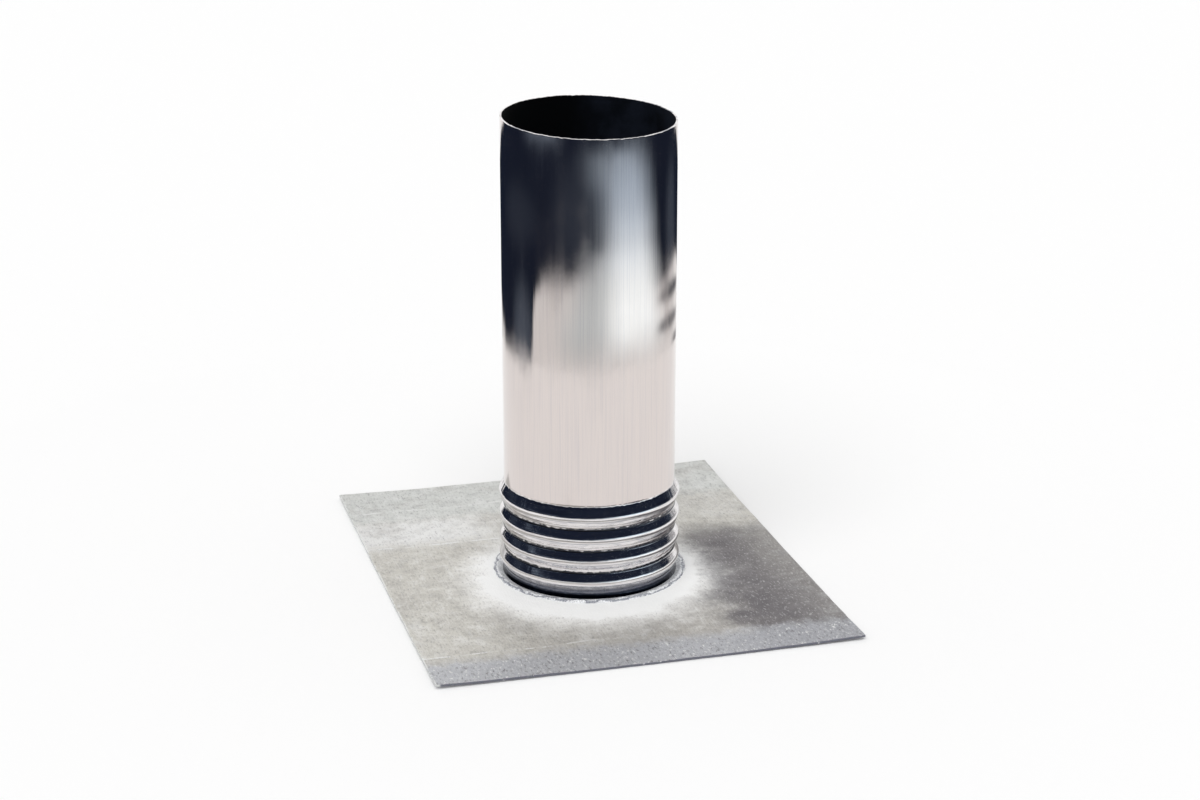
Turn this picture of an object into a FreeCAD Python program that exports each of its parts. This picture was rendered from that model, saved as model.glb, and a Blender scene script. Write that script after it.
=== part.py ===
import FreeCAD, Part
import math
import os

# Lead pipe flashing boot for a nominal 4 inch vent pipe.
# A flat sheet of rolled lead carries an upright open lead sleeve.  Four round ridges are
# rolled into the lower end of the sleeve, so that it can be bent to the slope of the roof,
# and its flared foot is burned to the sheet with a rippled bead of molten lead.
#
# Units: millimetres.  Origin: the pipe's axis at the underside of the sheet.
# +Z: up the pipe.  +X, +Y: along the sheet's short and long edges.

# ---------------------------------------------------------------- driving dimensions

# The pipe and the room round it
pipe_diameter = 114.3
pipe_clearance = 0.85            # radial, all round the pipe

# The base sheet
sheet_width = 288.5              # along X
sheet_length = 348.5             # along Y
sheet_thickness = 1.35
sheet_centre_x = -2.1            # the sleeve isn't quite in the middle of the sheet
sheet_centre_y = 5.1
sheet_corner_radius = 0.8        # sheared corners, rubbed down

# The sleeve
sleeve_wall = 1.35
sleeve_height = 323.0            # underside of the sheet to the rim, on the axis
rim_fall = 2.3                   # the rim is cut out of square: across the sleeve it
rim_rise = 5.0                   # drops this much towards +X and rises this much to +Y

# The bellows: rolled ridges with rounded crests and grooves, counted from the foot
ridge_count = 4
ridge_pitch = 15.6
ridge_height = 3.0               # crest over the straight sleeve, on the outside
groove_depth = 2.55              # crest to the bottom of the grooves between ridges
crest_radius = 4.6               # outer surface
groove_radius = 4.0              # outer surface
shoulder_length = 8.2            # top crest to the straight sleeve
shoulder_radius = 1.8            # where the straight sleeve turns into the top ridge

# The foot, which flares out to the sheet as steeply as the ridges' flanks
foot_height = 3.8                # bottom of the lowest groove over the sheet

# The burned seam
bead_width = 7.4                 # from the foot's outer edge to the bead's toe
bead_lip = 0.8                   # how high it has run up the foot's flare
bead_crown = 1.3                 # rise of its round back over the line from lip to toe
ripple_count = 24                # one ripple for each dab of the flame
ripple_depth = 0.2
ripple_sweep = 0.5               # how far each ripple's crescent bends round, in ripples
lump_depth = 0.55                # the slow rise and fall left by hand work

# ---------------------------------------------------------------- sizes that follow

bore_radius = pipe_diameter / 2 + pipe_clearance
sleeve_radius = bore_radius + sleeve_wall
crest_reach = sleeve_radius + ridge_height
groove_reach = crest_reach - groove_depth

lowest_groove_z = sheet_thickness + foot_height
lowest_crest_z = lowest_groove_z + ridge_pitch / 2
top_crest_z = lowest_crest_z + (ridge_count - 1) * ridge_pitch
straight_start_z = top_crest_z + shoulder_length

rim_slope_x = -rim_fall / (2 * sleeve_radius)
rim_slope_y = rim_rise / (2 * sleeve_radius)

seam_tolerance = 0.001           # the spline's edges follow true circles this closely


# ---------------------------------------------------------------- the wavy profile

class Round:
    """One round of the profile, in the plane of radius and height.

    side is +1 for a crest, whose centre lies inside the wall's outer surface, and -1 for a
    groove, whose centre lies outside it.
    """

    def __init__(self, reach, z, radius, side):
        self.side = side
        self.radius = radius
        self.centre = FreeCAD.Vector(reach - side * radius, 0, z)

    def inset(self, depth):
        """The same round on a surface that lies depth further in."""
        inner = Round(0, 0, self.radius - self.side * depth, self.side)
        inner.centre = self.centre
        return inner

    def at(self, angle):
        """The point where the wall's outward normal points up by angle, in radians."""
        normal = FreeCAD.Vector(math.cos(angle), 0, math.sin(angle))
        return self.centre + normal * (self.side * self.radius)

    def corner(self, angle, next_angle):
        """Where the tangents at two tilts of the normal would meet."""
        half = (next_angle - angle) / 2
        middle = (next_angle + angle) / 2
        normal = FreeCAD.Vector(math.cos(middle), 0, math.sin(middle))
        return self.centre + normal * (self.side * self.radius / math.cos(half))


def flank_angle(lower, upper):
    """Tilt of the straight flank that is tangent to a crest and a groove beside it."""
    crest, groove = (lower, upper) if lower.side > 0 else (upper, lower)
    rise = abs(groove.centre.z - crest.centre.z)
    run = groove.centre.x - crest.centre.x
    both = crest.radius + groove.radius
    return math.atan2(rise, run) - math.acos(both / math.hypot(rise, run))


def bellows_rounds():
    """All rounds from the lowest groove up to the straight sleeve, on the outer surface."""
    rounds = [Round(groove_reach, lowest_groove_z, groove_radius, -1)]
    for ridge in range(ridge_count):
        crest_z = lowest_crest_z + ridge * ridge_pitch
        rounds.append(Round(crest_reach, crest_z, crest_radius, +1))
        if ridge < ridge_count - 1:
            rounds.append(Round(groove_reach, crest_z + ridge_pitch / 2, groove_radius, -1))
    rounds.append(Round(sleeve_radius, straight_start_z, shoulder_radius, -1))
    return rounds


def bend(one, start_angle, end_angle):
    """The arc of a round between two tilts of its normal."""
    middle = one.at((start_angle + end_angle) / 2)
    return Part.Arc(one.at(start_angle), middle, one.at(end_angle)).toShape()


def flared(point, tilt):
    """Where the foot's flare from this point reaches the sheet; its normal tilts up."""
    fall = point.z - sheet_thickness
    return FreeCAD.Vector(point.x + fall * math.tan(tilt), 0, sheet_thickness)


def outer_line(top_z):
    """Edges of the sleeve's outer surface in section, from its foot up to top_z."""
    rounds = bellows_rounds()
    tilt = flank_angle(rounds[0], rounds[1])
    flare_start = rounds[0].at(tilt)
    edges = [Part.makeLine(flared(flare_start, tilt), flare_start)]
    for here, above in zip(rounds, rounds[1:]):
        # the wall's normal turns down at the top of a groove, and up at the top of a crest
        next_tilt = here.side * flank_angle(here, above)
        edges.append(bend(here, tilt, next_tilt))
        edges.append(Part.makeLine(here.at(next_tilt), above.at(next_tilt)))
        tilt = next_tilt
    shoulder = rounds[-1]
    edges.append(bend(shoulder, tilt, 0.0))
    straight = shoulder.at(0.0)
    edges.append(Part.makeLine(straight, FreeCAD.Vector(straight.x, 0, top_z)))
    return edges


def inner_line(top_z):
    """Edges of the bore's surface in section, one wall inside the outer surface.

    Inside, the wall is plain: straight flanks that meet in corners.
    """
    rounds = bellows_rounds()
    tilt = flank_angle(rounds[0], rounds[1])
    points = [flared(rounds[0].inset(sleeve_wall).at(tilt), tilt)]
    for here, above in zip(rounds, rounds[1:]):
        next_tilt = here.side * flank_angle(here, above)
        points.append(here.inset(sleeve_wall).corner(tilt, next_tilt))
        tilt = next_tilt
    points.append(rounds[-1].inset(sleeve_wall).corner(tilt, 0.0))
    points.append(FreeCAD.Vector(points[-1].x, 0, top_z))
    return [Part.makeLine(low, high) for low, high in zip(points, points[1:])]


def ends(edges):
    """The lowest and the highest point of a wall line."""
    return edges[0].Vertexes[0].Point, edges[-1].Vertexes[-1].Point


def revolved(edges):
    """The solid that a closed section of these edges sweeps round the pipe's axis."""
    section = Part.Face(Part.Wire(Part.__sortEdges__(edges)))
    return section.revolve(FreeCAD.Vector(0, 0, 0), FreeCAD.Vector(0, 0, 1), 360)


# ---------------------------------------------------------------- the pieces

def make_base_sheet():
    """Rolled lead sheet with a hole of the sleeve's bore."""
    corner = FreeCAD.Vector(sheet_centre_x - sheet_width / 2, sheet_centre_y - sheet_length / 2, 0)
    sheet = Part.makeBox(sheet_width, sheet_length, sheet_thickness, corner)
    upright = [edge for edge in sheet.Edges if edge.BoundBox.ZLength > edge.BoundBox.XLength
               and edge.BoundBox.ZLength > edge.BoundBox.YLength]
    sheet = sheet.makeFillet(sheet_corner_radius, upright)
    return sheet.cut(Part.makeCylinder(bore_radius, sheet_thickness))


def above_rim(room):
    """A block above the rim's plane, room high and wide enough to trim the sleeve."""
    half = 2 * sleeve_radius
    block = Part.makeBox(2 * half, 2 * half, room, FreeCAD.Vector(-half, -half, 0))
    normal = FreeCAD.Vector(-rim_slope_x, -rim_slope_y, 1)
    turn = FreeCAD.Rotation(FreeCAD.Vector(0, 0, 1), normal)
    block.Placement = FreeCAD.Placement(FreeCAD.Vector(0, 0, sleeve_height), turn)
    return block


def make_bellows_sleeve():
    """Open lead tube of one thickness, with its ridges, flared foot and sloping rim."""
    spare = rim_fall + rim_rise              # cut off again by the plane of the rim
    top_z = sleeve_height + spare
    outside = outer_line(top_z)
    inside = inner_line(top_z)
    foot_out, top_out = ends(outside)
    foot_in, top_in = ends(inside)
    closing = [Part.makeLine(foot_out, foot_in), Part.makeLine(top_out, top_in)]
    sleeve = revolved(outside + inside + closing)
    return sleeve.cut(above_rim(4 * spare))


def bead_pole(turn, across, lip_radius, foot_radius):
    """A control point of the bead's back.

    turn runs round the bead from 0 to 1, and across runs from the lip on the foot to the
    toe on the sheet.
    """
    angle = 2 * math.pi * turn
    lump = lump_depth * (0.5 * math.sin(3 * angle + 1.0) + 0.3 * math.sin(7 * angle + 2.4)
                         + 0.2 * math.sin(13 * angle + 0.6))
    bow = (2 * across - 1) ** 2
    phase = ripple_count * turn - ripple_sweep * bow
    ripple = ripple_depth * math.sin(2 * math.pi * phase)

    toe_radius = foot_radius + bead_width + lump + ripple
    radius = lip_radius + (toe_radius - lip_radius) * across
    height = bead_lip * (1 - across) + (bead_crown + ripple + lump / 2) * (1 - bow)
    return FreeCAD.Vector(radius * math.cos(angle), radius * math.sin(angle),
                          sheet_thickness + height)


def bead_back(lip_radius, foot_radius):
    """The bead's back as one closed spline surface, and the numbers of its spans."""
    turns = 3 * ripple_count                 # control points round the bead
    rows = 4                                 # control points across it
    degree = 3
    # a closed spline runs a little inside its poles, so they lie further out, and it
    # starts over its second row of poles, which has to be the one on +X
    gain = 3 / (2 + math.cos(2 * math.pi / turns))
    poles = []
    for turn in range(turns):
        places = [bead_pole((turn - 1) / turns, row / (rows - 1), lip_radius, foot_radius)
                  for row in range(rows)]
        poles.append([FreeCAD.Vector(gain * p.x, gain * p.y, p.z) for p in places])
    spans = rows - degree
    back = Part.BSplineSurface()
    back.buildFromPolesMultsKnots(
        poles, [1] * (turns + 1), [degree + 1] + [1] * (spans - 1) + [degree + 1],
        list(range(turns + 1)), list(range(spans + 1)), True, False, degree, degree)
    return back, turns, spans


def make_seam_bead():
    """Ring of burned-in lead, rippled by the flame, that joins the foot to the sheet.

    Each half has a back, an inner face that leans on the foot's flare from the sheet up
    to the lip, and a flat underside.
    """
    foot_line = outer_line(sleeve_height)[0]
    foot_radius = foot_line.Vertexes[0].X
    share = bead_lip / (foot_line.Vertexes[1].Z - sheet_thickness)
    lip_radius = foot_radius + (foot_line.Vertexes[1].X - foot_radius) * share
    back, turns, spans = bead_back(lip_radius, foot_radius)
    foot_circle = Part.Circle(FreeCAD.Vector(0, 0, sheet_thickness),
                              FreeCAD.Vector(0, 0, 1), foot_radius)

    faces = []
    for half in (0, 1):
        surface = back.copy()
        surface.segment(half * turns / 2, (half + 1) * turns / 2, 0, spans)
        back_face = surface.toShape()
        lip = max(back_face.Edges, key=lambda edge: edge.BoundBox.ZMin)
        toe = min(back_face.Edges, key=lambda edge: edge.BoundBox.ZMax)
        foot = foot_circle.toShape(math.pi * half, math.pi * (half + 1))
        sides = [Part.makeLine(foot.Vertexes[k].Point, toe.Vertexes[k].Point)
                 for k in (0, 1)]
        underside = Part.Face(Part.Wire(Part.__sortEdges__([toe, foot] + sides)))
        faces += [back_face, Part.makeRuledSurface(foot, lip), underside]

    skin = Part.makeCompound(faces)
    skin.sewShape(seam_tolerance)
    bead = Part.Solid(skin.Shells[0])
    if bead.Volume < 0:
        bead.reverse()
    return bead


pieces = {
    "base_sheet": make_base_sheet(),
    "bellows_sleeve": make_bellows_sleeve(),
    "seam_bead": make_seam_bead(),
}

os.makedirs("parts", exist_ok=True)
for node, shape in pieces.items():
    solids = shape.Solids
    print(node, "valid" if shape.isValid() else "INVALID", len(solids), "solid(s),",
          round(shape.Volume / 1000, 2), "cm3")
    shape.exportStep("parts/" + node + ".step")
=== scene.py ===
"""Lead pipe flashing boot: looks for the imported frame.

Metres throughout, in the frame's own axes.  The pipe's axis is the Z axis, and the
underside of the lead sheet is at Z = 0.
"""

import math
from functools import partial

import bpy
from bpy.props import FloatProperty, FloatVectorProperty, IntProperty, PointerProperty
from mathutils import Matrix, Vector, noise


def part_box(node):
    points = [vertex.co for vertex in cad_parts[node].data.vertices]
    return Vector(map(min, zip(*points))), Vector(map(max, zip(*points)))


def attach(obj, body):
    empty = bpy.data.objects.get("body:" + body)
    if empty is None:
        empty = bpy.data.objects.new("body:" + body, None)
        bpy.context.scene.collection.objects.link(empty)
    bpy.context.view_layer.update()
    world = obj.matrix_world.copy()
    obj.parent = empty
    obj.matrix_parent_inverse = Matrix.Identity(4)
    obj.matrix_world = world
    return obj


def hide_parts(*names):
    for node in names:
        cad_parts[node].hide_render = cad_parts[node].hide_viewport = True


bl_info = {
    "name": "Lead pipe flashing boot",
    "version": (1, 0, 0),
    "blender": (4, 5, 0),
    "location": "3D View > Sidebar > Flashing",
    "description": "Builds the lead sleeve, sheet and burned seam of a pipe flashing boot",
    "category": "Add Mesh",
}

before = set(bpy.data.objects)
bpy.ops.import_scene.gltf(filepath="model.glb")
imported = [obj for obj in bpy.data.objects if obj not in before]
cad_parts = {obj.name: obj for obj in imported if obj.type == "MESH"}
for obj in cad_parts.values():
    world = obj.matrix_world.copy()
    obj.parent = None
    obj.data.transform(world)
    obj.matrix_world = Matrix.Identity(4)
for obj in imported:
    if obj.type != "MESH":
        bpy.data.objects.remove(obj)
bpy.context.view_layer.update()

SHEET_LOW, SHEET_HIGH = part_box("base_sheet")
SLEEVE_LOW, SLEEVE_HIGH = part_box("bellows_sleeve")
SEAM_LOW, SEAM_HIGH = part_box("seam_bead")
MM = 0.001


# ------------------------------------------------------------------ sizes and colours

def length(name, description, default):
    """A size in metres."""
    return FloatProperty(name=name, description=description, default=default,
                         min=0.0, subtype="DISTANCE", unit="LENGTH", precision=5)


def colour(name, description, hex_value):
    """A colour, kept as the sRGB value that it is written as."""
    return FloatVectorProperty(name=name, description=description, subtype="COLOR_GAMMA",
                               size=3, min=0.0, max=1.0, default=srgb(hex_value))


def srgb(hex_value):
    """The three parts of an sRGB hex colour, from 0 to 1."""
    return tuple(int(hex_value[i:i + 2], 16) / 255 for i in (1, 3, 5))


def linear(gamma):
    """sRGB colour to the linear colour that shaders use."""
    parts = [c / 12.92 if c <= 0.04045 else ((c + 0.055) / 1.055) ** 2.4 for c in gamma]
    return (*parts, 1.0)


class SleeveSizes(bpy.types.PropertyGroup):
    wall: length("Wall", "Thickness of the lead", 1.35 * MM)
    ridge_height: length("Ridge height", "Crest over the straight sleeve", 3.0 * MM)
    groove_depth: length("Groove depth", "Crest to the bottom of a groove", 2.55 * MM)
    ridge_pitch: length("Ridge pitch", "From one crest to the next", 15.6 * MM)
    ridge_count: IntProperty(name="Ridges", description="Rolled ridges", default=4, min=1)
    crest_round: length("Crest round", "Radius of the crests, outside", 4.6 * MM)
    groove_round: length("Groove round", "Radius of the grooves, outside", 4.0 * MM)
    shoulder: length("Shoulder", "Top crest to the straight sleeve", 8.2 * MM)
    shoulder_round: length("Shoulder round", "Radius of the shoulder's turn", 1.8 * MM)
    swell: length("Swell", "How far hand rolling pushed the crests out", 0.6 * MM)
    foot: length("Foot", "Bottom of the lowest groove over the sheet", 3.8 * MM)
    rim_fall: length("Rim fall", "Drop of the rim towards +X", 2.3 * MM)
    rim_rise: length("Rim rise", "Rise of the rim towards +Y", 5.0 * MM)
    dents: length("Dents", "Depth of the slow hand-made dents", 0.09 * MM)


class SheetSizes(bpy.types.PropertyGroup):
    corner_lift: length("Corner lift", "How far the corners curl up", 1.6 * MM)
    waviness: length("Waviness", "Height of the slow waves of the sheet", 0.7 * MM)
    nicks: length("Edge nicks", "Depth of the sheared edge's nicks", 0.35 * MM)


class SeamSizes(bpy.types.PropertyGroup):
    width: length("Width", "From the foot's outer edge to the toe", 7.4 * MM)
    lip: length("Lip", "How high it runs up the foot's flare", 0.8 * MM)
    crown: length("Crown", "Rise of its round back", 1.3 * MM)
    ripples: IntProperty(name="Ripples", description="Dabs of the flame", default=32, min=3)
    ripple: length("Ripple depth", "Height of each ripple", 0.32 * MM)
    lumps: length("Lumps", "Slow rise and fall left by hand work", 0.55 * MM)


class Finishes(bpy.types.PropertyGroup):
    drawn: colour("Drawn lead", "Outside of the sleeve", "#ddd4d0")
    drawn_dull: colour("Drawn lead, dull", "Its faint draw streaks", "#cfc8c8")
    ridge: colour("Rolled ridges", "Lead burnished by the roller", "#efecec")
    # also used for the painted reflection above the sleeve's foot and the painted shade line
    # near the seam's toe
    tarnish: colour("Tarnish", "Dull grey-blue lead in the ridges' marks", "#6b7080")
    # painted shade: the near-black tone laid in the grooves' bottoms and in the crease at
    # the sleeve's foot
    dross: colour("Dross", "Near-black dross caught in the grooves", "#23262f")
    # painted shade: the near-black inside of the tube
    bore: colour("Bore", "Oxidised inside of the sleeve", "#0b0d11")
    # painted reflection: the lighter blue-grey at the +X side of the bore
    bore_bloom: colour("Bore bloom", "Blue-grey bloom at one side of the bore", "#2b3140")
    rolled: colour("Rolled lead", "The sheet's warm pale grey", "#dbd8d0")
    # also used for the painted shade towards the sheet's right front
    rolled_dull: colour("Rolled lead, dull", "Where it has dulled", "#c0bcb6")
    rolled_cool: colour("Rolled lead, cool", "The weathered back band", "#e7e9e6")
    rolled_front: colour("Rolled lead, front", "The bluish grey front band", "#c7c9cf")
    # also used for the painted shade in the front band towards the right
    stain: colour("Stain", "Brown and purple clouds", "#716d70")
    # also laid as painted light where the wiped zone reaches out to the front and left
    wiped: colour("Wiped lead", "The bright lead wiped clean for burning", "#fefefd")
    burned: colour("Burned lead", "The bright seam", "#f5f6f8")
    cut: colour("Cut edge", "Sheared edge of the sheet", "#71727c")


class StageSettings(bpy.types.PropertyGroup):
    floor: colour("Floor", "Pale floor", "#fefefe")
    dark: colour("Dark cloth", "The dark studio that the lead mirrors", "#1b2130")
    window: colour("Window", "The cool window card", "#c9dcf2")
    sun: FloatProperty(name="Lamp", description="Strength of the broad soft lamp",
                       default=1.7, min=0.0)
    sky: FloatProperty(name="Sky", description="Plain level of the world", default=0.55,
                       min=0.0)


# ------------------------------------------------------------------ helpers

def make_piece(name, verts, faces, node, materials, split=None):
    """A smooth-shaded mesh that rides with the object and stands for its node."""
    mesh = bpy.data.meshes.new(name)
    mesh.from_pydata(verts, [], faces)
    mesh.validate()
    mesh.update()
    piece = bpy.data.objects.new(name, mesh)
    bpy.context.scene.collection.objects.link(piece)
    for material in materials:
        mesh.materials.append(material)
    mesh.polygons.foreach_set("use_smooth", [True] * len(mesh.polygons))
    if split:
        mesh.polygons.foreach_set("material_index", [split(p) for p in mesh.polygons])
    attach(piece, "root")
    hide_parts(node)
    return piece


def wander(x, y, z, seed):
    """Smooth noise from -1 to 1, one feature a unit."""
    return noise.noise(Vector((x + 17.3 * seed, y - 9.1 * seed, z + 5.7 * seed)))


def around(turn, size, height, seed):
    """Smooth noise that closes on itself round the axis; size is features a radius."""
    return wander(size * math.cos(turn), size * math.sin(turn), height, seed)


def rings(columns, rows, point):
    """Vertices and faces of closed rows, each joined to the next and the last to the first.

    point(row, column) gives a place.
    """
    verts = [point(row, column) for row in rows for column in range(columns)]
    faces = []
    for r in range(len(rows)):
        low, high = r * columns, (r + 1) % len(rows) * columns
        for c in range(columns):
            d = (c + 1) % columns
            faces.append((low + c, low + d, high + d, high + c))
    return verts, faces


def add_node(tree, kind, links=None, out=0, **settings):
    """Adds a node with its settings and links, and gives one of its outputs.

    links maps the node's input sockets to other nodes' outputs, or to plain values.
    """
    node = tree.nodes.new("ShaderNode" + kind)
    for key, value in settings.items():
        setattr(node, key, value)
    for socket, source in (links or {}).items():
        if isinstance(source, bpy.types.NodeSocket):
            tree.links.new(source, node.inputs[socket])
        else:
            node.inputs[socket].default_value = source
    return node.outputs[out]


def finish(name, sources=None, steps=None, tones=(), linked=None, **settings):
    """A material, made from tables.

    sources(add) gives patterns and places by name.  Each step is a smooth mask, as
    name: (source, start, end, low, high, by): low up to start and high from end on, times
    the mask named by, if any.  tones is the base colour, and then (mask, colour) for each
    colour laid over it in turn.  linked(add, made) gives what the shader's other sockets
    take.  settings are the shader's own values.
    """
    material = bpy.data.materials.new(name)
    material.use_nodes = True
    tree = material.node_tree
    shader = tree.nodes["Principled BSDF"]
    for socket, value in settings.items():
        shader.inputs[socket.replace("_", " ")].default_value = value

    add = partial(add_node, tree)
    made = sources(add) if sources else {}
    for mask, (source, start, end, low, high, by) in (steps or {}).items():
        made[mask] = add("MapRange", {"Value": made[source], "From Min": start,
                                      "From Max": end, "To Min": low, "To Max": high},
                         interpolation_type="SMOOTHSTEP")
        if by:
            made[mask] = add("Math", {0: made[mask], 1: made[by]}, operation="MULTIPLY")
    wired = linked(add, made) if linked else {}
    if tones:
        tone = linear(tones[0])
        for mask, over in tones[1:]:
            tone = add("Mix", {0: made[mask], 6: tone, 7: linear(over)}, out=2,
                       data_type="RGBA")
        wired["Base Color"] = tone
    for socket, source in wired.items():
        tree.links.new(source, shader.inputs[socket])
    return material


# ------------------------------------------------------------------ lead finishes

def drawn_lead(colours):
    """Drawn lead tube: mirror-bright, with long fine draw lines that smear what it mirrors.
    """
    def sources(add):
        place = add("TexCoord", out="Object")
        # draw lines about 0.8 mm apart round the tube, and some 80 mm long
        along = add("Mapping", {"Vector": place, "Scale": (1, 1, 0.01)})
        lines = add("TexNoise", {"Vector": along, "Scale": 1250.0, "Detail": 3.0,
                                 "Roughness": 0.6})
        # broader pull marks, about 8 mm across
        broad = add("Mapping", {"Vector": place, "Scale": (1, 1, 0.05)})
        pulls = add("TexNoise", {"Vector": broad, "Scale": 120.0, "Detail": 2.0})
        # slow smudges of handling, about 40 mm
        smudges = add("TexNoise", {"Vector": place, "Scale": 24.0, "Detail": 4.0,
                                   "Roughness": 0.55})
        return {"lines": lines, "pulls": pulls, "smudges": smudges}

    steps = {
        "streak": ("lines", 0.42, 0.75, 0.0, 0.7, None),
        "pulled": ("pulls", 0.3, 0.7, 0.06, 0.11, None),
        "smudged": ("smudges", 0.45, 0.75, 0.0, 0.06, None),
    }
    tones = (colours.drawn, ("streak", colours.drawn_dull))

    def linked(add, made):
        pulled = add("Bump", {"Height": made["pulls"], "Strength": 0.10, "Distance": 0.0012})
        return {
            "Roughness": add("Math", {0: made["pulled"], 1: made["smudged"]},
                             operation="ADD"),
            "Normal": add("Bump", {"Height": made["lines"], "Strength": 0.12,
                                   "Distance": 0.0002, "Normal": pulled}),
        }
    return finish("drawn_lead", sources, steps, tones, linked, Metallic=1.0, Roughness=0.16)


def ridge_lead(colours, foot, pitch, count):
    """Lead rolled into ridges: burnished bright, with tool marks that run round it, a thin
    tarnish-toned line under every crest, dull grey-blue streaks in the lower flanks that
    thicken towards +X as painted reflection, painted shade in the grooves, and painted
    reflection and shade at the foot.
    """
    top_crest = foot + (count - 0.5) * pitch

    def sources(add):
        place = add("TexCoord", out="Object")
        height = add("SeparateXYZ", {"Vector": place}, out="Z")
        # tool marks about 0.8 mm apart up the sleeve, and some 25 mm long
        flat = add("Mapping", {"Vector": place, "Scale": (0.03, 0.03, 1)})
        marks = add("TexNoise", {"Vector": flat, "Scale": 1200.0, "Detail": 3.0,
                                 "Roughness": 0.6})
        # streaks about 2 mm high and 15 mm long, and a ragged edge about 3 mm long
        long = add("Mapping", {"Vector": place, "Scale": (0.14, 0.14, 1)})
        streaks = add("TexNoise", {"Vector": long, "Scale": 480.0, "Detail": 4.0,
                                   "Roughness": 0.65})
        ragged = add("TexNoise", {"Vector": place, "Scale": 300.0, "Detail": 4.0,
                                  "Roughness": 0.65})
        # where on its pitch a place is: 0.1 at a groove's bottom, 0.6 at a crest
        over = add("Math", {0: height, 1: foot - 0.1 * pitch}, operation="SUBTRACT")
        pitches = add("Math", {0: over, 1: pitch}, operation="DIVIDE")
        phase = add("Math", {0: pitches}, operation="FRACT")
        off = add("Math", {0: ragged, 1: 0.5}, operation="SUBTRACT")
        return {"marks": marks, "streaks": streaks, "ragged": ragged, "height": height,
                "side": add("SeparateXYZ", {"Vector": place}, out="X"), "phase": phase,
                "torn": add("Math", {0: off, 1: 0.28, 2: phase}, operation="MULTIPLY_ADD")}

    steps = {
        "mark": ("marks", 0.45, 0.75, 0.0, 1.0, None),
        # a thin tarnish-toned line just under each crest
        "above": ("phase", 0.435, 0.46, 0.0, 0.75, None),
        "scratch": ("phase", 0.485, 0.46, 0.0, 1.0, "above"),
        # painted shade: a torn, near-black tone round the bottom of each groove
        "grooved": ("height", top_crest + 0.001, top_crest, 0.0, 1.0, None),
        "low": ("torn", 0.115, 0.085, 0.0, 0.95, "grooved"),
        # dull tarnish streaks in the lower flanks; fewer at the left and more towards +X,
        # which is painted reflection
        "lower": ("phase", 0.56, 0.48, 0.0, 1.0, None),
        "right": ("side", -0.01, 0.045, 0.35, 1.0, "lower"),
        "streak": ("streaks", 0.48, 0.62, 0.0, 0.75, "right"),
        # painted reflection: a dull grey-blue band above the foot; painted shade: a
        # near-black band in the crease where the foot meets the seam
        "smoked": ("height", foot + 0.0050, foot + 0.0018, 0.0, 0.8, None),
        "foot": ("height", foot + 0.0008, foot - 0.0008, 0.0, 0.95, None),
        "soot": ("ragged", 0.3, 0.5, 0.6, 1.0, "foot"),
        "rough": ("ragged", 0.35, 0.7, 0.07, 0.17, None),
    }
    tones = (colours.ridge, ("mark", colours.drawn_dull), ("streak", colours.tarnish),
             ("scratch", colours.tarnish), ("low", colours.dross),
             ("smoked", colours.tarnish), ("soot", colours.dross))

    def linked(add, made):
        rolled = add("Bump", {"Height": made["marks"], "Strength": 0.08,
                              "Distance": 0.00025})
        return {
            "Roughness": made["rough"],
            "Normal": add("Bump", {"Height": made["ragged"], "Strength": 0.05,
                                   "Distance": 0.0004, "Normal": rolled}),
        }
    return finish("rolled_ridge_lead", sources, steps, tones, linked, Metallic=1.0,
                  Roughness=0.12)


def bore_lead(colours):
    """Lead inside the tube: near black as painted shade, with a dull blue painted reflection
    at the +X side.
    """
    def sources(add):
        place = add("TexCoord", out="Object")
        # patches of the painted reflection, about 25 mm across
        bloom = add("TexNoise", {"Vector": place, "Scale": 40.0, "Detail": 5.0,
                                 "Roughness": 0.6})
        return {"bloom": bloom, "x": add("SeparateXYZ", {"Vector": place}, out="X")}

    steps = {
        # painted reflection: lighter towards +X
        "side": ("x", 0.0, 0.03, 0.0, 1.0, None),
        "patch": ("bloom", 0.35, 0.65, 0.3, 1.0, "side"),
    }
    tones = (colours.bore, ("patch", colours.bore_bloom))

    def linked(add, made):
        return {"Normal": add("Bump", {"Height": made["bloom"], "Strength": 0.2,
                                       "Distance": 0.0005})}
    return finish("oxidised_lead_bore", sources, steps, tones, linked, Metallic=0.7,
                  Roughness=0.5)


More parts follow.
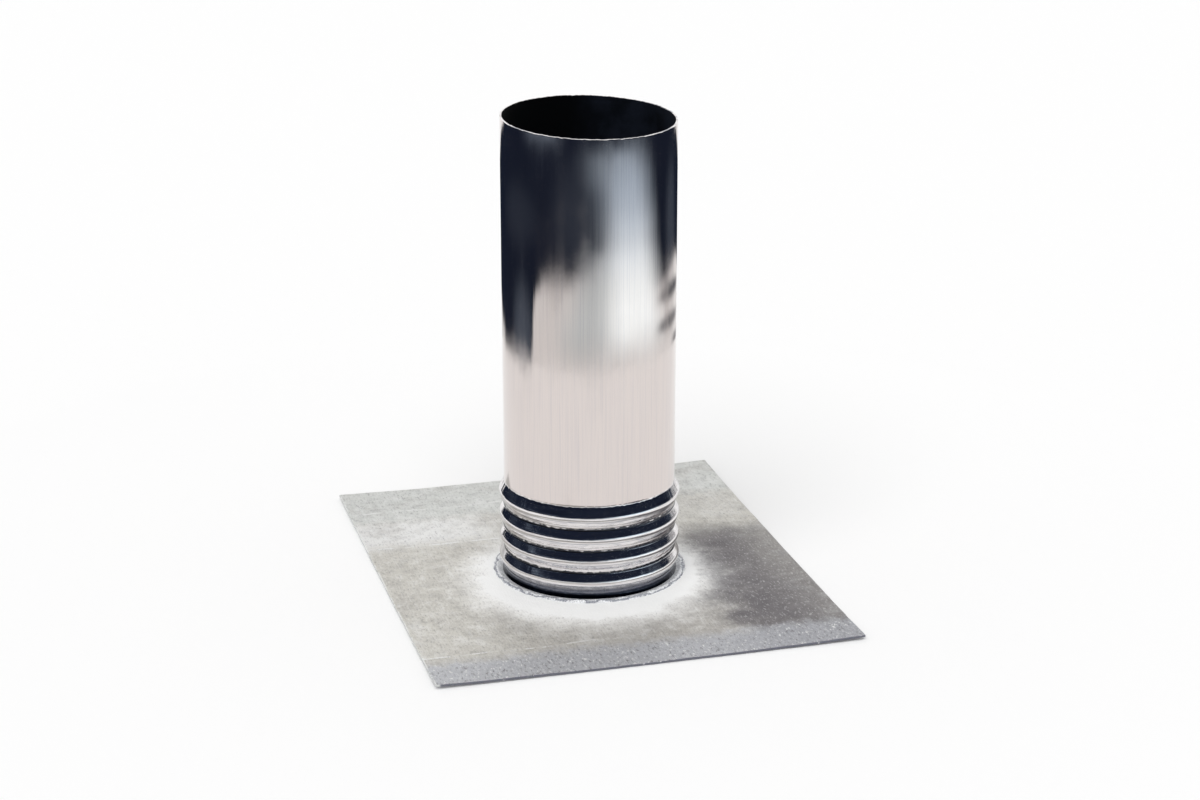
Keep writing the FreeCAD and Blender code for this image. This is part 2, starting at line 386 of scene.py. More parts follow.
def rolled_lead(colours):
    """Milled lead sheet: satin grey with roller lines, weathered bands, stains, painted
    shade towards the right front, and a bright zone round the seam that was wiped clean
    before burning, stretched to the front and left as painted light.
    """
    def sources(add):
        place = add("TexCoord", out="Object")
        made = {axis.lower(): add("SeparateXYZ", {"Vector": place}, out=axis)
                for axis in "XY"}
        made["reach"] = add("VectorMath", {0: place}, out="Value", operation="LENGTH")
        drawn = add("Mapping", {"Vector": place, "Scale": (1, 0.035, 1)})
        pressed = add("Mapping", {"Vector": place, "Scale": (1, 0.4, 1)})
        # roller lines about 0.9 mm apart, some 25 mm long, up the sheet
        noises = {"lines": (drawn, 1100.0, 3.0, 0.6),
                  # grain of about 1.5 by 4 mm, coarser than the real one so that it shows
                  "grain": (pressed, 640.0, 4.0, 0.8),
                  # bright specks and pits of 2 to 5 mm, mottling of 10, clouds of 50
                  "specks": (pressed, 500.0, 3.0, 0.65),
                  "mottle": (place, 100.0, 5.0, 0.68),
                  "patches": (place, 34.0, 5.0, 0.6),
                  "clouds": (place, 17.0, 3.0, 0.5)}
        for name, (where, scale, detail, roughness) in noises.items():
            made[name] = add("TexNoise", {"Vector": where, "Scale": scale,
                                          "Detail": detail, "Roughness": roughness})
        # places pushed about, so that no band or cloud has a straight border
        for name, axis, by, far in (("bent_x", "x", "patches", 0.075),
                                    ("bent_y", "y", "mottle", 0.028),
                                    ("swept_y", "y", "clouds", 0.06),
                                    ("line_y", "y", "clouds", 0.008),
                                    ("torn", "reach", "mottle", 0.012),
                                    ("edge", "torn", "patches", 0.022)):
            off = add("Math", {0: made[by], 1: 0.5}, operation="SUBTRACT")
            made[name] = add("Math", {0: off, 1: far, 2: made[axis]},
                             operation="MULTIPLY_ADD")
        # the bright wiped zone reaches further at the front, and a little further at the
        # left, which is painted light
        for axis, lean in (("x", 0.06), ("y", 0.20)):
            made["edge"] = add("Math", {0: made[axis], 1: lean, 2: made["edge"]},
                               operation="MULTIPLY_ADD")
        # and it is feathered outwards
        wiped = add("MapRange", {"Value": made["edge"], "From Min": 0.121,
                                 "From Max": 0.064}, interpolation_type="SMOOTHSTEP")
        made["wiped"] = add("Math", {0: wiped, 1: 2.6}, operation="POWER")
        return made

    steps = {
        # painted shade: darker towards the right front
        "right": ("bent_x", -0.12, 0.06, 0.0, 1.0, None),
        "dull": ("swept_y", 0.06, -0.09, 0.0, 0.9, "right"),
        # the weathered bands along the back and the front edge
        "back": ("bent_y", 0.105, 0.125, 0.0, 0.85, None),
        "front": ("bent_y", -0.127, -0.147, 0.0, 0.85, None),
        # painted shade: the front band darker towards the right
        "front_right": ("bent_x", 0.0, 0.10, 0.0, 0.24, "front"),
        # a pale haze in front of the back band, strongest at the left
        "left": ("bent_x", -0.02, -0.09, 0.2, 1.0, None),
        "haze_back": ("bent_y", 0.125, 0.105, 0.0, 0.85, "left"),
        "haze": ("bent_y", 0.055, 0.082, 0.0, 1.0, "haze_back"),
        # brown and purple clouds at the right, from the middle to the front
        "far": ("bent_x", 0.048, 0.090, 0.0, 1.0, None),
        "outer": ("bent_x", 0.104, 0.138, 1.0, 0.64, "far"),
        "behind": ("swept_y", 0.062, 0.02, 0.0, 1.0, "outer"),
        "cloud": ("patches", 0.3, 0.6, 0.80, 0.96, "behind"),
        "near": ("bent_x", 0.03, 0.09, 0.0, 1.0, None),
        "before": ("swept_y", -0.05, -0.10, 0.0, 0.8, "near"),
        "brown": ("patches", 0.36, 0.64, 0.1, 0.55, "before"),
        # mottling, patches, roller lines and grain
        "mottled": ("mottle", 0.46, 0.72, 0.0, 0.20, None),
        "pale": ("mottle", 0.48, 0.28, 0.0, 0.35, None),
        "patchy": ("patches", 0.48, 0.68, 0.0, 0.42, None),
        "bloom": ("patches", 0.46, 0.3, 0.0, 0.3, None),
        "lined": ("lines", 0.48, 0.75, 0.0, 0.30, None),
        "dark_grain": ("grain", 0.52, 0.70, 0.0, 0.50, None),
        "pale_grain": ("grain", 0.46, 0.32, 0.0, 0.40, None),
        # specks of fresh lead and pits
        "speck": ("specks", 0.64, 0.70, 0.0, 0.13, None),
        "front_speck": ("specks", 0.58, 0.66, 0.0, 0.9, "front"),
        "front_pit": ("specks", 0.42, 0.35, 0.0, 0.8, "front"),
        # dashed lines where the roller stopped: two at the back, one at the front
        "dash": ("mottle", 0.46, 0.54, 0.15, 0.95, None),
        "dash_left": ("x", 0.02, -0.06, 0.0, 1.0, "dash"),
        "a_up": ("line_y", 0.0655, 0.0662, 0.0, 1.0, "dash_left"),
        "dash_a": ("line_y", 0.0675, 0.0666, 0.0, 1.0, "a_up"),
        "b_up": ("line_y", 0.1350, 0.1358, 0.0, 0.8, "dash_left"),
        "dash_b": ("line_y", 0.1378, 0.1368, 0.0, 1.0, "b_up"),
        "c_up": ("line_y", -0.1285, -0.1277, 0.0, 0.8, "dash_left"),
        "dash_c": ("line_y", -0.1258, -0.1266, 0.0, 1.0, "c_up"),
        # the frosted rim of the burning, and the shine of the lead outside it
        "frost": ("edge", 0.077, 0.070, 0.0, 1.0, None),
        "shine": ("edge", 0.100, 0.075, 0.6, 0.05, None),
        # brighter along the left edge
        "worn": ("x", -0.1448, -0.1458, 0.0, 0.8, "dash"),
        "rough": ("mottle", 0.3, 0.7, 0.42, 0.56, None),
    }
    tones = (colours.rolled,
             ("dull", colours.rolled_dull), ("back", colours.rolled_cool),
             ("haze", colours.wiped), ("patchy", colours.rolled_dull),
             ("bloom", colours.wiped), ("mottled", colours.stain),
             ("pale", colours.wiped), ("lined", colours.wiped),
             ("cloud", colours.stain), ("brown", colours.stain),
             ("front", colours.rolled_front), ("front_right", colours.stain),
             ("dash_a", colours.wiped), ("dash_b", colours.wiped),
             ("dash_c", colours.wiped), ("wiped", colours.wiped),
             ("dark_grain", colours.stain), ("pale_grain", colours.wiped),
             ("speck", colours.wiped), ("front_speck", colours.wiped),
             ("front_pit", colours.stain), ("frost", colours.wiped),
             ("worn", colours.wiped))

    def linked(add, made):
        heights = add("Math", {0: made["front_speck"], 1: made["mottle"]}, operation="ADD")
        pitted = add("Bump", {"Height": heights, "Strength": 0.5, "Distance": 0.0009})
        grained = add("Bump", {"Height": made["grain"], "Strength": 0.35,
                               "Distance": 0.0004, "Normal": pitted})
        return {
            "Roughness": made["rough"],
            "Metallic": made["shine"],
            "Normal": add("Bump", {"Height": made["lines"], "Strength": 0.25,
                                   "Distance": 0.0003, "Normal": grained}),
        }
    return finish("rolled_lead", sources, steps, tones, linked, Metallic=0.6, Roughness=0.5)


def cut_lead(colours):
    """Sheared lead edge: dull, with the odd bright nick where it was knocked."""
    def sources(add):
        place = add("TexCoord", out="Object")
        # nicks about 6 mm apart
        nicks = add("TexNoise", {"Vector": place, "Scale": 160.0, "Detail": 4.0,
                                 "Roughness": 0.7})
        return {"nicks": nicks, "side": add("SeparateXYZ", {"Vector": place}, out="X")}

    steps = {
        "nick": ("nicks", 0.6, 0.68, 0.0, 0.8, None),
        # brighter along the left edge
        "rubbed": ("side", SHEET_LOW.x + 0.004, SHEET_LOW.x + 0.002, 0.0, 0.75, None),
    }
    tones = (colours.cut, ("rubbed", colours.rolled_cool), ("nick", colours.wiped))

    def linked(add, made):
        return {"Normal": add("Bump", {"Height": made["nicks"], "Strength": 0.4,
                                       "Distance": 0.0006})}
    return finish("sheared_lead_edge", sources, steps, tones, linked, Metallic=0.8,
                  Roughness=0.4)


def burned_lead(colours, toe):
    """Burned lead seam: bright frosted metal, rippled by the flame, with a wavy line of
    painted shade near its toe.
    """
    def sources(add):
        place = add("TexCoord", out="Object")
        reach = add("VectorMath", {0: place}, out="Value", operation="LENGTH")
        # flame frost of 1 mm, and squiggles of about 8 mm
        frost = add("TexNoise", {"Vector": place, "Scale": 900.0, "Detail": 4.0,
                                 "Roughness": 0.7})
        squiggle = add("TexNoise", {"Vector": place, "Scale": 130.0, "Detail": 3.0,
                                    "Roughness": 0.6})
        off = add("Math", {0: squiggle, 1: 0.5}, operation="SUBTRACT")
        return {"frost": frost,
                "bent": add("Math", {0: off, 1: 0.008, 2: reach}, operation="MULTIPLY_ADD")}

    steps = {
        # painted shade: a thin dark wavy line in the crevice near the toe
        "inside": ("bent", toe - 0.0032, toe - 0.0026, 0.0, 0.7, None),
        "crease": ("bent", toe - 0.0012, toe - 0.0018, 0.0, 1.0, "inside"),
        "speck": ("frost", 0.57, 0.68, 0.0, 0.6, None),
        "rough": ("frost", 0.3, 0.7, 0.18, 0.42, None),
    }
    tones = (colours.burned, ("crease", colours.tarnish), ("speck", colours.tarnish))

    def linked(add, made):
        return {"Roughness": made["rough"],
                "Normal": add("Bump", {"Height": made["frost"], "Strength": 0.5,
                                       "Distance": 0.0007})}
    return finish("burned_lead", sources, steps, tones, linked, Metallic=0.35,
                  Roughness=0.3)


# ------------------------------------------------------------------ the sleeve

SLEEVE_COLUMNS = 480           # round the axis
ARC_STEPS = 6                  # straight runs to each round of the section
TUBE_ROWS = 40                 # up the straight part, outside
BORE_ROWS = 12                 # and inside
SLEEVE_SHARP = math.radians(35)    # edges that turn more than this stay crisp

# hand work on the ridges
RIDGE_INSET = 0.17 * MM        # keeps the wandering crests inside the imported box
CREST_WANDER = 0.10 * MM       # slow, along each crest
CREST_FLUTTER = 0.05 * MM      # quicker, along each crest
BRUISES = 0.30 * MM            # crests only
ROLLER_MARKS = 0.035 * MM      # grooves only
RIDGE_DRIFT = 0.25 * MM        # up and down
SHOULDER_DRIFT = 0.5 * MM      # ragged edge of the shoulder, up and down
SHOULDER_BURR = 0.12 * MM      # and outwards

# the cut rim
RIM_INSET = 0.32 * MM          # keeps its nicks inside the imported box
RIM_ROUND = 0.10 * MM          # how far its two edges are rubbed down
RIM_WANDER = 0.10 * MM         # slow rise and fall of the cut
RIM_NICKS = 0.24 * MM          # fine nicks, up and down
RIM_STEPS = 0.20 * MM          # broader ones, where the cut started again
RIM_BURR = 0.16 * MM           # in and out
RIM_BEGINS = 0.9985            # share of the straight part above which it is nicked


def flank_angle(low, high):
    """Tilt of the straight flank between two rounds (side, radius, x, z) of a section."""
    crest, groove = (low, high) if low[0] > 0 else (high, low)
    rise, run = abs(groove[3] - crest[3]), groove[2] - crest[2]
    return math.atan2(rise, run) - math.acos((crest[1] + groove[1]) / math.hypot(rise, run))


def sleeve_section(sizes, inset):
    """(radius, height) of the wall from its foot up to the start of the straight sleeve.

    The same rounds and flanks as the frame's solid, as far inside it as inset, with
    crests that swell a little further out.
    """
    reach = (SLEEVE_HIGH.x - SLEEVE_LOW.x) / 2
    crest_reach = reach + sizes.swell
    groove_reach = reach - sizes.groove_depth
    straight = reach - sizes.ridge_height
    z = SHEET_HIGH.z + sizes.foot
    rounds = [(-1, sizes.groove_round, groove_reach + sizes.groove_round, z)]
    for ridge in range(sizes.ridge_count):
        z += sizes.ridge_pitch / 2
        rounds.append((1, sizes.crest_round, crest_reach - sizes.crest_round, z))
        if ridge < sizes.ridge_count - 1:
            z += sizes.ridge_pitch / 2
            rounds.append((-1, sizes.groove_round, groove_reach + sizes.groove_round, z))
    z += sizes.shoulder
    rounds.append((-1, sizes.shoulder_round, straight + sizes.shoulder_round, z))

    line = []
    tilt = flank_angle(rounds[0], rounds[1])
    for index, (side, radius, x, height) in enumerate(rounds):
        radius -= side * inset
        last = index == len(rounds) - 1
        next_tilt = 0.0 if last else side * flank_angle(rounds[index], rounds[index + 1])
        for step in range(ARC_STEPS + 1):
            angle = tilt + (next_tilt - tilt) * step / ARC_STEPS
            line.append((x + side * radius * math.cos(angle),
                         height + side * radius * math.sin(angle)))
        tilt = next_tilt
    # the foot flares out to the sheet as steeply as the flanks
    low_x, low_z = line[0]
    fall = low_z - SHEET_HIGH.z
    return [(low_x + fall * math.tan(flank_angle(rounds[0], rounds[1])), SHEET_HIGH.z),
            *line]


class BOOT_OT_sleeve(bpy.types.Operator):
    """Build the drawn lead sleeve with its rolled ridges"""
    bl_idname = "boot.sleeve"
    bl_label = "Lead Sleeve"
    bl_options = {"REGISTER", "UNDO"}

    def execute(self, context):
        sizes = context.scene.boot_sleeve
        colours = context.scene.boot_finishes
        outer = sleeve_section(sizes, 0.0)
        inner = sleeve_section(sizes, sizes.wall)
        radius = outer[-1][0]
        bore = radius - sizes.wall
        start_z = outer[-1][1]
        shoulder_z = outer[-1 - ARC_STEPS][1] - 0.1 * MM
        rim_z = SLEEVE_HIGH.z - math.hypot(sizes.rim_fall, sizes.rim_rise) / 2 - RIM_INSET
        slope_x = -sizes.rim_fall / (2 * radius)
        slope_y = sizes.rim_rise / (2 * radius)

        # rows: (radius, height or share of the straight part, part of the wall)
        rows = [(r, z, "ridges") for r, z in outer]
        rows += [(radius, share, "tube") for share in (0.001, 0.004, 0.01)]
        rows += [(radius, k / TUBE_ROWS, "tube") for k in range(1, TUBE_ROWS)]
        rows += [(radius, 0.998, "tube"), (radius, 0.9994, "rim"),
                 (radius - RIM_ROUND, 1.0, "rim"), (bore + RIM_ROUND, 1.0, "bore"),
                 (bore, 0.9990, "bore"), (bore, 0.998, "bore")]
        rows += [(bore, k / BORE_ROWS, "bore") for k in range(BORE_ROWS - 1, 0, -1)]
        rows += [(r, z, "folds") for r, z in reversed(inner)]

        def place(row, column):
            turn = 2 * math.pi * column / SLEEVE_COLUMNS
            r, level, part = row
            if part in ("ridges", "folds"):
                z = level
                # the ridges were rolled by hand: crests wander and are lightly bruised
                swell = CREST_WANDER * around(turn, 2.5, z * 140, 1) \
                    + CREST_FLUTTER * around(turn, 9, z * 60, 2)
                out = max(0.0, min(1.0, (r - radius + 0.5 * MM) / (2 * MM)))
                bruise = max(0.0, around(turn, 16, z * 90, 3) - 0.25) * BRUISES * out
                # and the grooves keep the ragged marks of the roller's edge
                swell += ROLLER_MARKS * around(turn, 26, z * 320, 15) * (1 - out)
                z += RIDGE_DRIFT * around(turn, 3, z * 60, 4) * min(1.0, z / 0.01)
                # the shoulder's edge is nicked by the roller
                if part == "ridges" and level > shoulder_z:
                    z += SHOULDER_DRIFT * around(turn, 38, 0, 9)
                    r += SHOULDER_BURR * (around(turn, 50, level * 900, 10) + 0.3)
                r = r + swell - bruise - RIDGE_INSET
            else:
                top = rim_z + slope_x * r * math.cos(turn) + slope_y * r * math.sin(turn)
                nick = RIM_WANDER * around(turn, 5, 0, 5)
                if level > RIM_BEGINS:
                    nick += RIM_NICKS * around(turn, 40, 0, 6) \
                        + RIM_STEPS * around(turn, 15, 0, 16)
                if level == 1.0:
                    r += RIM_BURR * around(turn, 55, r * 900, 17)
                top += nick
                z = start_z + (top - start_z) * level
                fade = min(1.0, (z - start_z) / 0.02)
                r += sizes.dents * fade * (around(turn, 1.3, z * 9, 7)
                                           + 0.35 * around(turn, 3.2, z * 22, 8))
            return (r * math.cos(turn), r * math.sin(turn), z)

        verts, faces = rings(SLEEVE_COLUMNS, rows, place)
        leads = [ridge_lead(colours, SHEET_HIGH.z + sizes.foot, sizes.ridge_pitch,
                            sizes.ridge_count),
                 drawn_lead(colours), bore_lead(colours)]
        lead_of = {"ridges": 0, "tube": 1, "rim": 0, "bore": 2, "folds": 2}

        def split(face):
            return lead_of[rows[min(face.vertices) // SLEEVE_COLUMNS][2]]

        piece = make_piece("lead_sleeve", verts, faces, "bellows_sleeve",
                           leads, split)
        piece.data.set_sharp_from_angle(angle=SLEEVE_SHARP)
        return {"FINISHED"}


# ------------------------------------------------------------------ the sheet

SHEET_RINGS = 44               # from the hole to the edge
LONG_COLUMNS, SHORT_COLUMNS = 130, 108    # along each long and short edge
SHEET_SHARP = math.radians(40)
HELD = 0.075                   # the seam holds the sheet flat this far from the axis
LOOSENS = 0.06                 # and it is fully loose this much further out
BACK_BOW = 0.8 * MM            # rise of the back edge's middle
EDGE_WANDER = 0.15 * MM        # how far the shears wandered inwards


def sheet_height(x, y, sizes):
    """How far the sheet's underside has lifted off the roof at a place."""
    middle = (SHEET_LOW + SHEET_HIGH) / 2
    across = (x - middle.x) / ((SHEET_HIGH.x - SHEET_LOW.x) / 2)
    along = (y - middle.y) / ((SHEET_HIGH.y - SHEET_LOW.y) / 2)
    loose = max(0.0, min(1.0, (math.hypot(x, y) - HELD) / LOOSENS))
    curl = sizes.corner_lift * (abs(across * along)) ** 2.5
    bow = BACK_BOW * max(0.0, along) ** 4 * math.exp(-((across + 0.1) * 2.2) ** 2)
    wave = sizes.waviness * (0.5 + 0.5 * wander(x * 22, y * 22, 0.3, 1)) * loose
    return loose * (curl + bow) + wave


class BOOT_OT_sheet(bpy.types.Operator):
    """Build the rolled lead sheet"""
    bl_idname = "boot.sheet"
    bl_label = "Lead Sheet"
    bl_options = {"REGISTER", "UNDO"}

    def execute(self, context):
        sizes = context.scene.boot_sheet
        colours = context.scene.boot_finishes
        wall = context.scene.boot_sleeve.wall
        low, high = SHEET_LOW, SHEET_HIGH
        thick = high.z - low.z
        hole = (SLEEVE_HIGH.x - SLEEVE_LOW.x) / 2 \
            - context.scene.boot_sleeve.ridge_height - wall
        middle = (low + high) / 2
        half = (high - low) / 2

        # columns: evenly along the edges, so that every corner has its own column
        edge = []
        corners = [(1, -1), (1, 1), (-1, 1), (-1, -1)]
        for k, (cx, cy) in enumerate(corners):
            nx, ny = corners[(k + 1) % 4]
            count = LONG_COLUMNS if cx == nx else SHORT_COLUMNS
            for step in range(count):
                t = step / count
                edge.append((middle.x + half.x * (cx + (nx - cx) * t),
                             middle.y + half.y * (cy + (ny - cy) * t)))
        shares = [k / SHEET_RINGS for k in range(SHEET_RINGS + 1)]
        rows = [(share, thick) for share in shares] \
            + [(share, 0.0) for share in reversed(shares)]

        def place(row, column):
            share, over = row
            ex, ey = edge[column]
            turn = math.atan2(ey, ex)
            hx, hy = hole * math.cos(turn), hole * math.sin(turn)
            x, y = hx + (ex - hx) * share, hy + (ey - hy) * share
            if share == 1.0:
                nick = max(0.0, wander(ex * 160, ey * 160, 1, 2) - 0.1) * sizes.nicks \
                    + EDGE_WANDER * (0.5 + 0.5 * wander(ex * 40, ey * 40, 2, 3))
                x -= math.copysign(nick, ex) if abs(ex - middle.x) > half.x * 0.9999 else 0
                y -= math.copysign(nick, ey) if abs(ey - middle.y) > half.y * 0.9999 else 0
            return (x, y, sheet_height(x, y, sizes) + over)

        verts, faces = rings(len(edge), rows, place)
        faces = [(a, d, c, b) for a, b, c, d in faces]
        outer = SHEET_RINGS * len(edge)

        def split(face):
            cut = outer <= min(face.vertices) and max(face.vertices) < outer + 2 * len(edge)
            return int(cut)

        piece = make_piece("lead_sheet", verts, faces, "base_sheet",
                           [rolled_lead(colours), cut_lead(colours)], split)
        piece.data.set_sharp_from_angle(angle=SHEET_SHARP)
        return {"FINISHED"}


# ------------------------------------------------------------------ the burned seam

SEAM_COLUMNS = 720             # round the axis
SEAM_ROWS = 22                 # from the foot to the toe
SUNK = 0.3 * MM                # its underside lies this far into the sheet
TOE_INSET = 1.0 * MM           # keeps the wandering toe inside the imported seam
TOE_WANDER = 0.5 * MM          # in and out
FROTH = 0.3 * MM               # fine unevenness of its back


class BOOT_OT_seam(bpy.types.Operator):
    """Build the burned lead seam between the foot and the sheet"""
    bl_idname = "boot.seam"
    bl_label = "Burned Seam"
    bl_options = {"REGISTER", "UNDO"}

    def execute(self, context):
        sizes = context.scene.boot_seam
        sleeve = context.scene.boot_sleeve
        colours = context.scene.boot_finishes
        foot_x = sleeve_section(sleeve, 0.0)[0][0]
        top = SHEET_HIGH.z
        inside = foot_x - sleeve.wall * 0.5
        rows = ["under"] + [k / SEAM_ROWS for k in range(SEAM_ROWS + 1)]

        def place(row, column):
            turn = 2 * math.pi * column / SEAM_COLUMNS
            if row == "under":
                return (inside * math.cos(turn), inside * math.sin(turn), top - SUNK)
            lump = sizes.lumps * (0.5 * math.sin(3 * turn + 1.0)
                                  + 0.3 * math.sin(7 * turn + 2.4)
                                  + 0.2 * math.sin(13 * turn + 0.6))
            # each ripple is a crescent, bowed towards the next
            bow = (2 * row - 1) ** 2
            phase = sizes.ripples * turn / (2 * math.pi) - 0.9 * bow \
                + 0.5 * around(turn, 3, 0, 11)
            ripple = sizes.ripple * math.sin(2 * math.pi * phase) \
                * (0.7 + 0.6 * around(turn, 6, 0, 12))
            toe = foot_x + sizes.width + lump + ripple \
                + TOE_WANDER * around(turn, 14, 0, 13) - TOE_INSET
            r = inside + (toe - inside) * row
            # it lies low against the foot and swells towards its toe
            swell = math.sin(math.pi * row ** 1.5)
            back = sizes.lip * 0.3 * (1 - row) + (sizes.crown + ripple + lump / 2) * swell
            back += FROTH * around(turn, 45, row * 4, 14) * swell
            return (r * math.cos(turn), r * math.sin(turn),
                    top + max(-SUNK, back - SUNK * row ** 4))

        verts, faces = rings(SEAM_COLUMNS, rows, place)
        faces = [tuple(reversed(face)) for face in faces]
        make_piece("burned_seam", verts, faces, "seam_bead",
                   [burned_lead(colours, (SEAM_HIGH.x - SEAM_LOW.x) / 2)])
        return {"FINISHED"}


# ------------------------------------------------------------------ the stage

AZIMUTH = math.radians(-15.214)    # of the camera, from the front
ELEVATION = math.radians(18.074)
EYE_AWAY = 1.7537                  # from the pivot, which is on the axis
PIVOT_HEIGHT = 0.1453
AIM_RIGHT, AIM_DOWN = 0.00745, 0.0212    # of the pivot
LENS, SENSOR = 76.72, 36.0         # in mm, as cameras have them
FLOOR_HALF = 30
WALL_AWAY = 0.56                   # the surround, from the axis
WALL_LIFT = 0.5 * MM
WALL_COLUMNS, WALL_ROWS = 181, 60


def between(value, points):
    """A value read off a line through given points of (place, value)."""
    for (a, low), (b, high) in zip(points, points[1:]):
        if value <= b:
            share = max(0.0, min(1.0, (value - a) / (b - a)))
            return low + (high - low) * share * share * (3 - 2 * share)
    return points[-1][1]


def soft(value, start, end):
    """0 up to start, 1 from end on, and smooth between; either way round."""
    share = max(0.0, min(1.0, (value - start) / (end - start)))
    return share * share * (3 - 2 * share)


class BOOT_OT_stage(bpy.types.Operator):
    """Set up the floor, the soft light, the dark studio surround and the camera"""
    bl_idname = "boot.stage"
    bl_label = "Stage"
    bl_options = {"REGISTER", "UNDO"}

    def execute(self, context):
        settings = context.scene.boot_stage
        self.camera()
        self.floor(settings)
        self.world(settings)
        self.lamp(settings)
        self.surround(settings)
        bpy.context.scene.view_settings.view_transform = "Standard"
        return {"FINISHED"}

    def camera(self):
        """The view: 77 mm lens, 1.75 m away, from the left front and above."""
        eye = bpy.data.cameras.new("camera")
        eye.lens = LENS
        eye.sensor_width = SENSOR
        camera = bpy.data.objects.new("camera", eye)
        bpy.context.scene.collection.objects.link(camera)
        back = Vector((math.sin(AZIMUTH) * math.cos(ELEVATION),
                       -math.cos(AZIMUTH) * math.cos(ELEVATION), math.sin(ELEVATION)))
        pivot = Vector((0, 0, PIVOT_HEIGHT))
        camera.location = pivot + EYE_AWAY * back
        aim = pivot + AIM_RIGHT * Vector((math.cos(AZIMUTH), math.sin(AZIMUTH), 0))
        aim.z -= AIM_DOWN
        camera.rotation_euler = (aim - camera.location).to_track_quat("-Z", "Y").to_euler()
        bpy.context.scene.camera = camera

    def floor(self, settings):
        """A large pale floor, which shows as white where the object's shadow isn't."""
        mesh = bpy.data.meshes.new("floor")
        mesh.from_pydata([(x * FLOOR_HALF, y * FLOOR_HALF, 0)
                          for x, y in ((-1, -1), (1, -1), (1, 1), (-1, 1))], [],
                         [(0, 1, 2, 3)])
        floor = bpy.data.objects.new("floor", mesh)
        bpy.context.scene.collection.objects.link(floor)
        floor.location.z = -0.2 * MM    # clear of the sheet's underside
        mesh.materials.append(finish("pale_floor", Roughness=0.9, Specular_IOR_Level=0.1,
                                     Base_Color=linear(settings.floor)))

    def world(self, settings):
        """Plain light for the object, and white for the eye and for mirrors."""
        world = bpy.data.worlds.new("studio")
        bpy.context.scene.world = world
        world.use_nodes = True
        add = partial(add_node, world.node_tree)
        seen = add("LightPath", out="Is Camera Ray")
        for kind in ("Is Glossy Ray", "Is Transmission Ray"):
            seen = add("Math", {0: seen, 1: add("LightPath", out=kind)}, operation="MAXIMUM")
        level = add("MapRange", {"Value": seen, "To Min": settings.sky, "To Max": 1.0})
        back = world.node_tree.nodes["Background"]
        back.inputs["Color"].default_value = (1, 1, 1, 1)
        world.node_tree.links.new(level, back.inputs["Strength"])

    def lamp(self, settings):
        """One broad soft lamp from the upper left front."""
        light = bpy.data.lights.new("broad_lamp", "SUN")
        light.energy = settings.sun
        light.angle = math.radians(50)
        lamp = bpy.data.objects.new("broad_lamp", light)
        bpy.context.scene.collection.objects.link(lamp)
        lamp.rotation_euler = (math.radians(28), math.radians(-18), 0)
        lamp.visible_glossy = False

    def surround(self, settings):
        """The dark studio that the bright lead mirrors, with a window at the right front.

        A curved wall on the floor, which only mirror reflections see.  Bearings are in
        degrees to the right of the camera, as seen from the object.
        """
        dark = Vector(linear(settings.dark)[:3])
        window = Vector(linear(settings.window)[:3])
        warm = Vector(linear(settings.floor)[:3])
        verts, glow = [], []
        for column in range(WALL_COLUMNS):
            bearing = -180 + 360 * column / (WALL_COLUMNS - 1)
            top = between(bearing, ((-180, 0.15), (-140, 0.2), (-118, 0.42), (-70, 0.66),
                                    (70, 0.66), (118, 0.42), (140, 0.2), (180, 0.15)))
            turn = AZIMUTH + math.radians(bearing)
            for row in range(WALL_ROWS):
                # rows lie closer together low down, where more is seen
                height = WALL_LIFT + (top - WALL_LIFT) * (row / (WALL_ROWS - 1)) ** 1.6
                verts.append((WALL_AWAY * math.sin(turn), -WALL_AWAY * math.cos(turn),
                              height))
                glow.append(self.seen(bearing, height, dark, window, warm))
        faces = []
        for column in range(WALL_COLUMNS - 1):
            for row in range(WALL_ROWS - 1):
                here = column * WALL_ROWS + row
                after = here + WALL_ROWS
                faces.append((here, after, after + 1, here + 1))
        mesh = bpy.data.meshes.new("surround")
        mesh.from_pydata(verts, [], faces)
        tint = mesh.color_attributes.new("glow", "FLOAT_COLOR", "POINT")
        tint.data.foreach_set("color", [part for one in glow for part in (*one, 1.0)])
        wall = bpy.data.objects.new("surround", mesh)
        bpy.context.scene.collection.objects.link(wall)

        def linked(add, made):
            return {"Emission Color": add("Attribute", out="Color", attribute_name="glow")}

        mesh.materials.append(finish(
            "studio_surround", linked=linked, Roughness=1.0, Specular_IOR_Level=0.0,
            Base_Color=(0, 0, 0, 1), Emission_Strength=1.0))
        for ray in ("camera", "diffuse", "shadow", "transmission", "volume_scatter"):
            setattr(wall, "visible_" + ray, False)

    def seen(self, bearing, height, dark, window, warm):
        """What stands in the studio at a bearing and height, as light."""
        # how high the pale floor and the light things on it reach
        low = between(bearing, ((-180, 0.06), (-146, 0.02), (-128, -0.04), (-83, -0.04),
                                (-70, 0.068), (-58, 0.079), (-30, 0.081), (-6, 0.088),
                                (20, 0.10), (104, 0.07), (150, 0.085), (180, 0.06)))
        light = dark.lerp(warm * (0.82 + 0.06 * soft(bearing, 30, 80)),
                          soft(height, low + 0.006, low - 0.012))
        # the window: white low down, blue-grey higher up, between two slanting edges
        edge = between(height, ((0.02, -40), (0.070, -22), (0.092, -4), (0.112, 16),
                                (0.15, 12), (0.185, -6)))
        end = between(height, ((0.0, 116), (0.07, 99), (0.12, 90), (0.17, 82), (0.2, 70)))
        opened = soft(bearing, edge - 18, edge + 28) * soft(bearing, end + 14, end - 28) \
            * soft(height, 0.203, 0.188) * soft(height, -0.005, 0.035)
        level = between(height, ((0.0, 1.1), (0.045, 1.46), (0.09, 1.3), (0.12, 1.0),
                                 (0.15, 0.78), (0.19, 0.62)))
        level *= 0.52 + 0.48 * soft(bearing, 4, 48)
        cool = soft(height, 0.06, 0.17)
        tint = Vector((0.885 - 0.22 * cool, 0.97 - 0.15 * cool, 1.0 - 0.01 * cool))
        light = light.lerp(tint * level, opened)
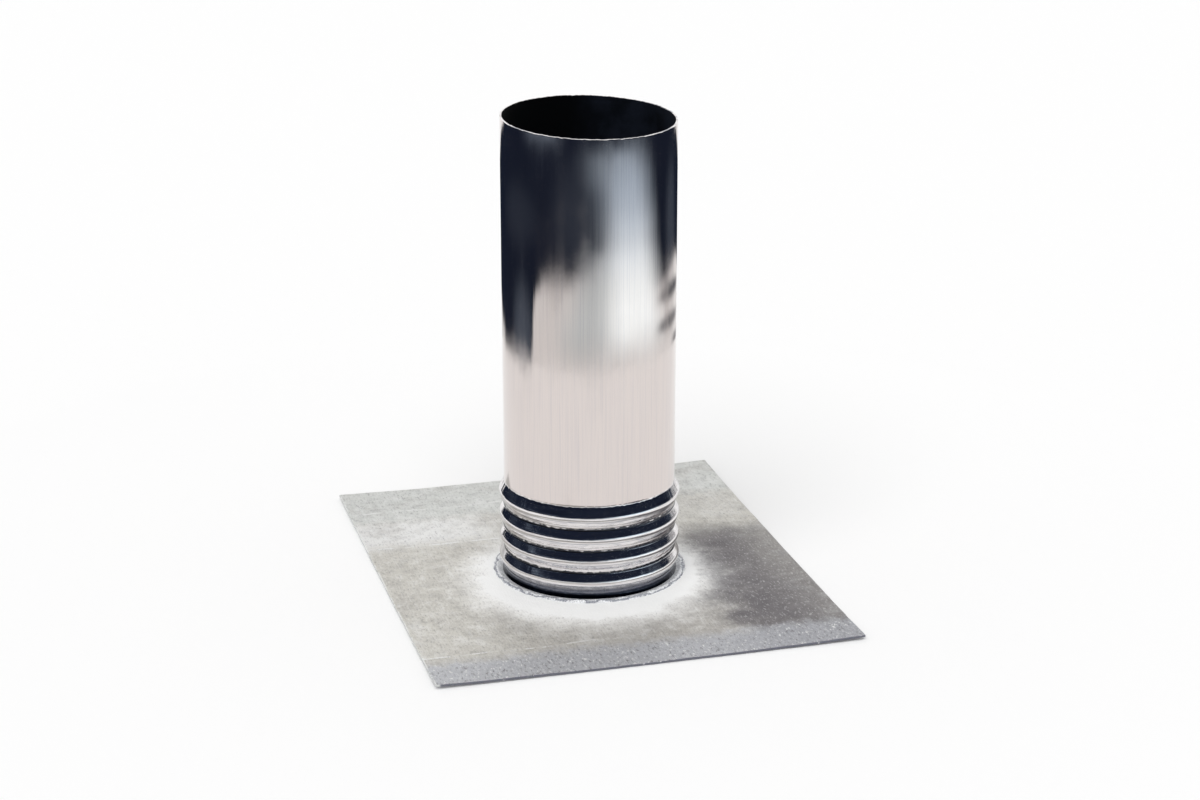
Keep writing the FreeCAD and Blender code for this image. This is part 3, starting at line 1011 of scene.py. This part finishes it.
        # lighter patches in the dark, and dark folds low at the right: each has its bearing,
        # height, reach either way, strength and tone
        for centre, up, wide, tall, strength, tone in (
                (-60, 0.214, 30, 0.012, 0.5, window * 0.75),
                (-100, 0.13, 34, 0.03, 0.06, window * 0.5),
                (-94, 0.02, 20, 0.055, 0.2, window * 0.6),
                (-8, 0.14, 42, 0.06, 0.06, window * 0.6),
                (128, 0.12, 16, 0.06, 0.07, window),
                (130, 0.054, 36, 0.0095, 0.95, dark),
                (126, 0.026, 36, 0.0085, 0.85, dark),
                (150, 0.004, 16, 0.007, 0.6, dark)):
            away = math.hypot((bearing - centre) / wide, (height - up) / tall)
            light = light.lerp(tone, strength * soft(away, 1.3, 0.3))
        return light


# ------------------------------------------------------------------ panel and registration

class BOOT_PT_panel(bpy.types.Panel):
    """Sizes, finishes and build steps of the flashing boot"""
    bl_label = "Pipe Flashing Boot"
    bl_idname = "BOOT_PT_panel"
    bl_space_type = "VIEW_3D"
    bl_region_type = "UI"
    bl_category = "Flashing"

    def draw(self, context):
        for label, group, operator in STEPS:
            box = self.layout.box()
            box.label(text=label)
            settings = getattr(context.scene, group)
            for key in settings.__annotations__:
                box.prop(settings, key)
            if operator:
                box.operator(operator)


STEPS = (
    ("Sleeve", "boot_sleeve", "boot.sleeve"),
    ("Sheet", "boot_sheet", "boot.sheet"),
    ("Seam", "boot_seam", "boot.seam"),
    ("Finishes", "boot_finishes", None),
    ("Stage", "boot_stage", "boot.stage"),
)

GROUPS = {
    "boot_sleeve": SleeveSizes,
    "boot_sheet": SheetSizes,
    "boot_seam": SeamSizes,
    "boot_finishes": Finishes,
    "boot_stage": StageSettings,
}

CLASSES = (*GROUPS.values(), BOOT_OT_sleeve, BOOT_OT_sheet, BOOT_OT_seam, BOOT_OT_stage,
           BOOT_PT_panel)


def register():
    for cls in CLASSES:
        bpy.utils.register_class(cls)
    for name, group in GROUPS.items():
        setattr(bpy.types.Scene, name, PointerProperty(type=group))


def unregister():
    for name in GROUPS:
        delattr(bpy.types.Scene, name)
    for cls in reversed(CLASSES):
        bpy.utils.unregister_class(cls)


def main():
    register()
    bpy.ops.boot.sleeve()
    bpy.ops.boot.sheet()
    bpy.ops.boot.seam()
    bpy.ops.boot.stage()


if __name__ == "__main__":
    main()
